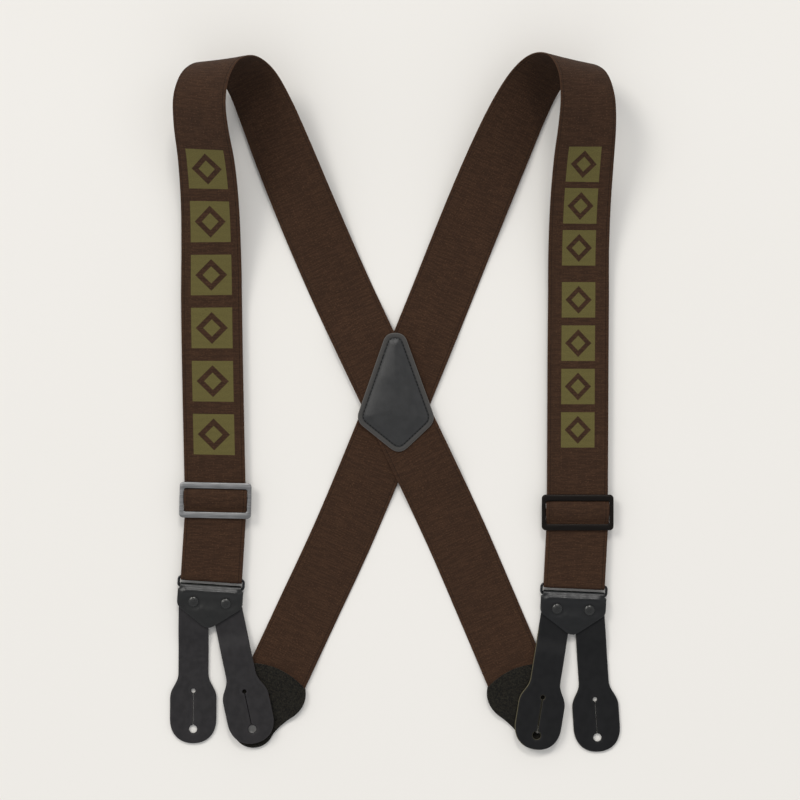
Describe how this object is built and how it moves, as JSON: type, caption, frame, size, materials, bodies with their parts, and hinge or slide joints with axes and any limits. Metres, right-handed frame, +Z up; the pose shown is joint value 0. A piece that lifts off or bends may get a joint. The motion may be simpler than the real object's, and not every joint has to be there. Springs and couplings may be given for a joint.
{
  "type": "suspenders",
  "caption": "Wide elastic X-back suspenders with leather button tabs on rivets, wire rings, slide adjusters and a leather cross patch, laid out folded at the shoulders.",
  "frame": {"origin": "middle of the footprint, on the surface that the suspenders lie on", "axes": "+X to the right seen from above, +Y from the button tabs towards the shoulders, +Z up from the surface"},
  "size_m": [0.3746, 0.5762, 0.0668],
  "materials": {
    "webbing": "dark brown ribbed elastic webbing",
    "leather": "charcoal smooth leather, satin",
    "suede": "black suede lining, matt",
    "grey_metal": "matt gunmetal",
    "black_metal": "black lacquer"
  },
  "bodies": {
    "back": {"left_shoulder_rear": "webbing", "right_shoulder_rear": "webbing", "left_strap_rear": "webbing", "right_strap_rear": "webbing", "cross_patch_outer": "leather", "cross_patch_inner": "leather", "left_rear_tab_outer": "leather", "left_rear_tab_lining": "suede", "right_rear_tab_outer": "leather", "right_rear_tab_lining": "suede"},
    "left_front": {"left_shoulder_front": "webbing", "left_strap_front": "webbing"},
    "left_lower": {"left_strap_lower": "webbing", "left_strap_fold": "webbing", "left_strap_tail": "webbing"},
    "left_adjuster": {"left_adjuster_frame": "grey_metal", "left_sewn_end": "webbing"},
    "left_ring": {"left_ring": "black_metal"},
    "left_yoke": {"left_yoke": "leather", "left_outer_rivet_cap": "black_metal", "left_outer_rivet_back": "black_metal", "left_inner_rivet_cap": "black_metal", "left_inner_rivet_back": "black_metal"},
    "left_outer_tab": {"left_outer_tab": "leather"},
    "left_inner_tab": {"left_inner_tab": "leather"},
    "right_front": {"right_shoulder_front": "webbing", "right_strap_front": "webbing"},
    "right_lower": {"right_strap_lower": "webbing", "right_strap_fold": "webbing", "right_strap_tail": "webbing"},
    "right_adjuster": {"right_adjuster_frame": "grey_metal", "right_sewn_end": "webbing"},
    "right_ring": {"right_ring": "black_metal"},
    "right_yoke": {"right_yoke": "leather", "right_outer_rivet_cap": "black_metal", "right_outer_rivet_back": "black_metal", "right_inner_rivet_cap": "black_metal", "right_inner_rivet_back": "black_metal"},
    "right_outer_tab": {"right_outer_tab": "leather"},
    "right_inner_tab": {"right_inner_tab": "leather"}
  },
  "joints": [
    {"name": "left_shoulder_fold", "type": "hinge", "parent": "back", "child": "left_front", "pos_m": [-0.14362, 0.28201, 0.04219], "axis": [-0.7427, 0.0259, -0.6691], "range_deg": [0, 60]},
    {"name": "left_length_slide", "type": "slide", "parent": "left_front", "child": "left_lower", "axis": [-0.0212, 0.9998, 0], "range_m": [-0.012, 0.045], "deforming": ["left_strap_lower"]},
    {"name": "left_adjuster_slide", "type": "slide", "parent": "left_lower", "child": "left_adjuster", "axis": [-0.0212, 0.9998, 0], "range_m": [-0.012, 0.045], "deforming": ["left_strap_tail"]},
    {"name": "left_ring_hinge", "type": "hinge", "parent": "left_lower", "child": "left_ring", "pos_m": [-0.15258, -0.14345, 0.00325], "axis": [-0.9977, 0.068, 0], "range_deg": [0, 90]},
    {"name": "left_yoke_hinge", "type": "hinge", "parent": "left_ring", "child": "left_yoke", "pos_m": [-0.15314, -0.15173, 0.00325], "axis": [-0.9977, 0.068, 0], "range_deg": [0, 60]},
    {"name": "left_outer_swivel", "type": "hinge", "parent": "left_yoke", "child": "left_outer_tab", "pos_m": [-0.16731, -0.16259, 0.00325], "axis": [0, 0, 1], "range_deg": [-25, 5]},
    {"name": "left_inner_swivel", "type": "hinge", "parent": "left_yoke", "child": "left_inner_tab", "pos_m": [-0.14058, -0.16441, 0.00325], "axis": [0, 0, 1], "range_deg": [-6, 20]},
    {"name": "right_shoulder_fold", "type": "hinge", "parent": "back", "child": "right_front", "pos_m": [0.14289, 0.28372, 0.03661], "axis": [-0.7286, 0.0637, 0.682], "range_deg": [0, 60]},
    {"name": "right_length_slide", "type": "slide", "parent": "right_front", "child": "right_lower", "axis": [0.0065, 1, 0], "range_m": [-0.003, 0.045], "deforming": ["right_strap_lower"]},
    {"name": "right_adjuster_slide", "type": "slide", "parent": "right_lower", "child": "right_adjuster", "axis": [0.0065, 1, 0], "range_m": [-0.003, 0.045], "deforming": ["right_strap_tail"]},
    {"name": "right_ring_hinge", "type": "hinge", "parent": "right_lower", "child": "right_ring", "pos_m": [0.14902, -0.14915, 0.00325], "axis": [-0.999, 0.0454, 0], "range_deg": [0, 90]},
    {"name": "right_yoke_hinge", "type": "hinge", "parent": "right_ring", "child": "right_yoke", "pos_m": [0.14864, -0.15744, 0.00325], "axis": [-0.999, 0.0454, 0], "range_deg": [0, 60]},
    {"name": "right_outer_swivel", "type": "hinge", "parent": "right_yoke", "child": "right_outer_tab", "pos_m": [0.1615, -0.16984, 0.00325], "axis": [0, 0, -1], "range_deg": [-25, 5]},
    {"name": "right_inner_swivel", "type": "hinge", "parent": "right_yoke", "child": "right_inner_tab", "pos_m": [0.13472, -0.16862, 0.00325], "axis": [0, 0, -1], "range_deg": [-6, 20]}
  ],
  "couplings": [
    {"joint": "left_adjuster_slide", "follows": "left_length_slide", "ratio": 1},
    {"joint": "right_adjuster_slide", "follows": "right_length_slide", "ratio": 1}
  ]
}
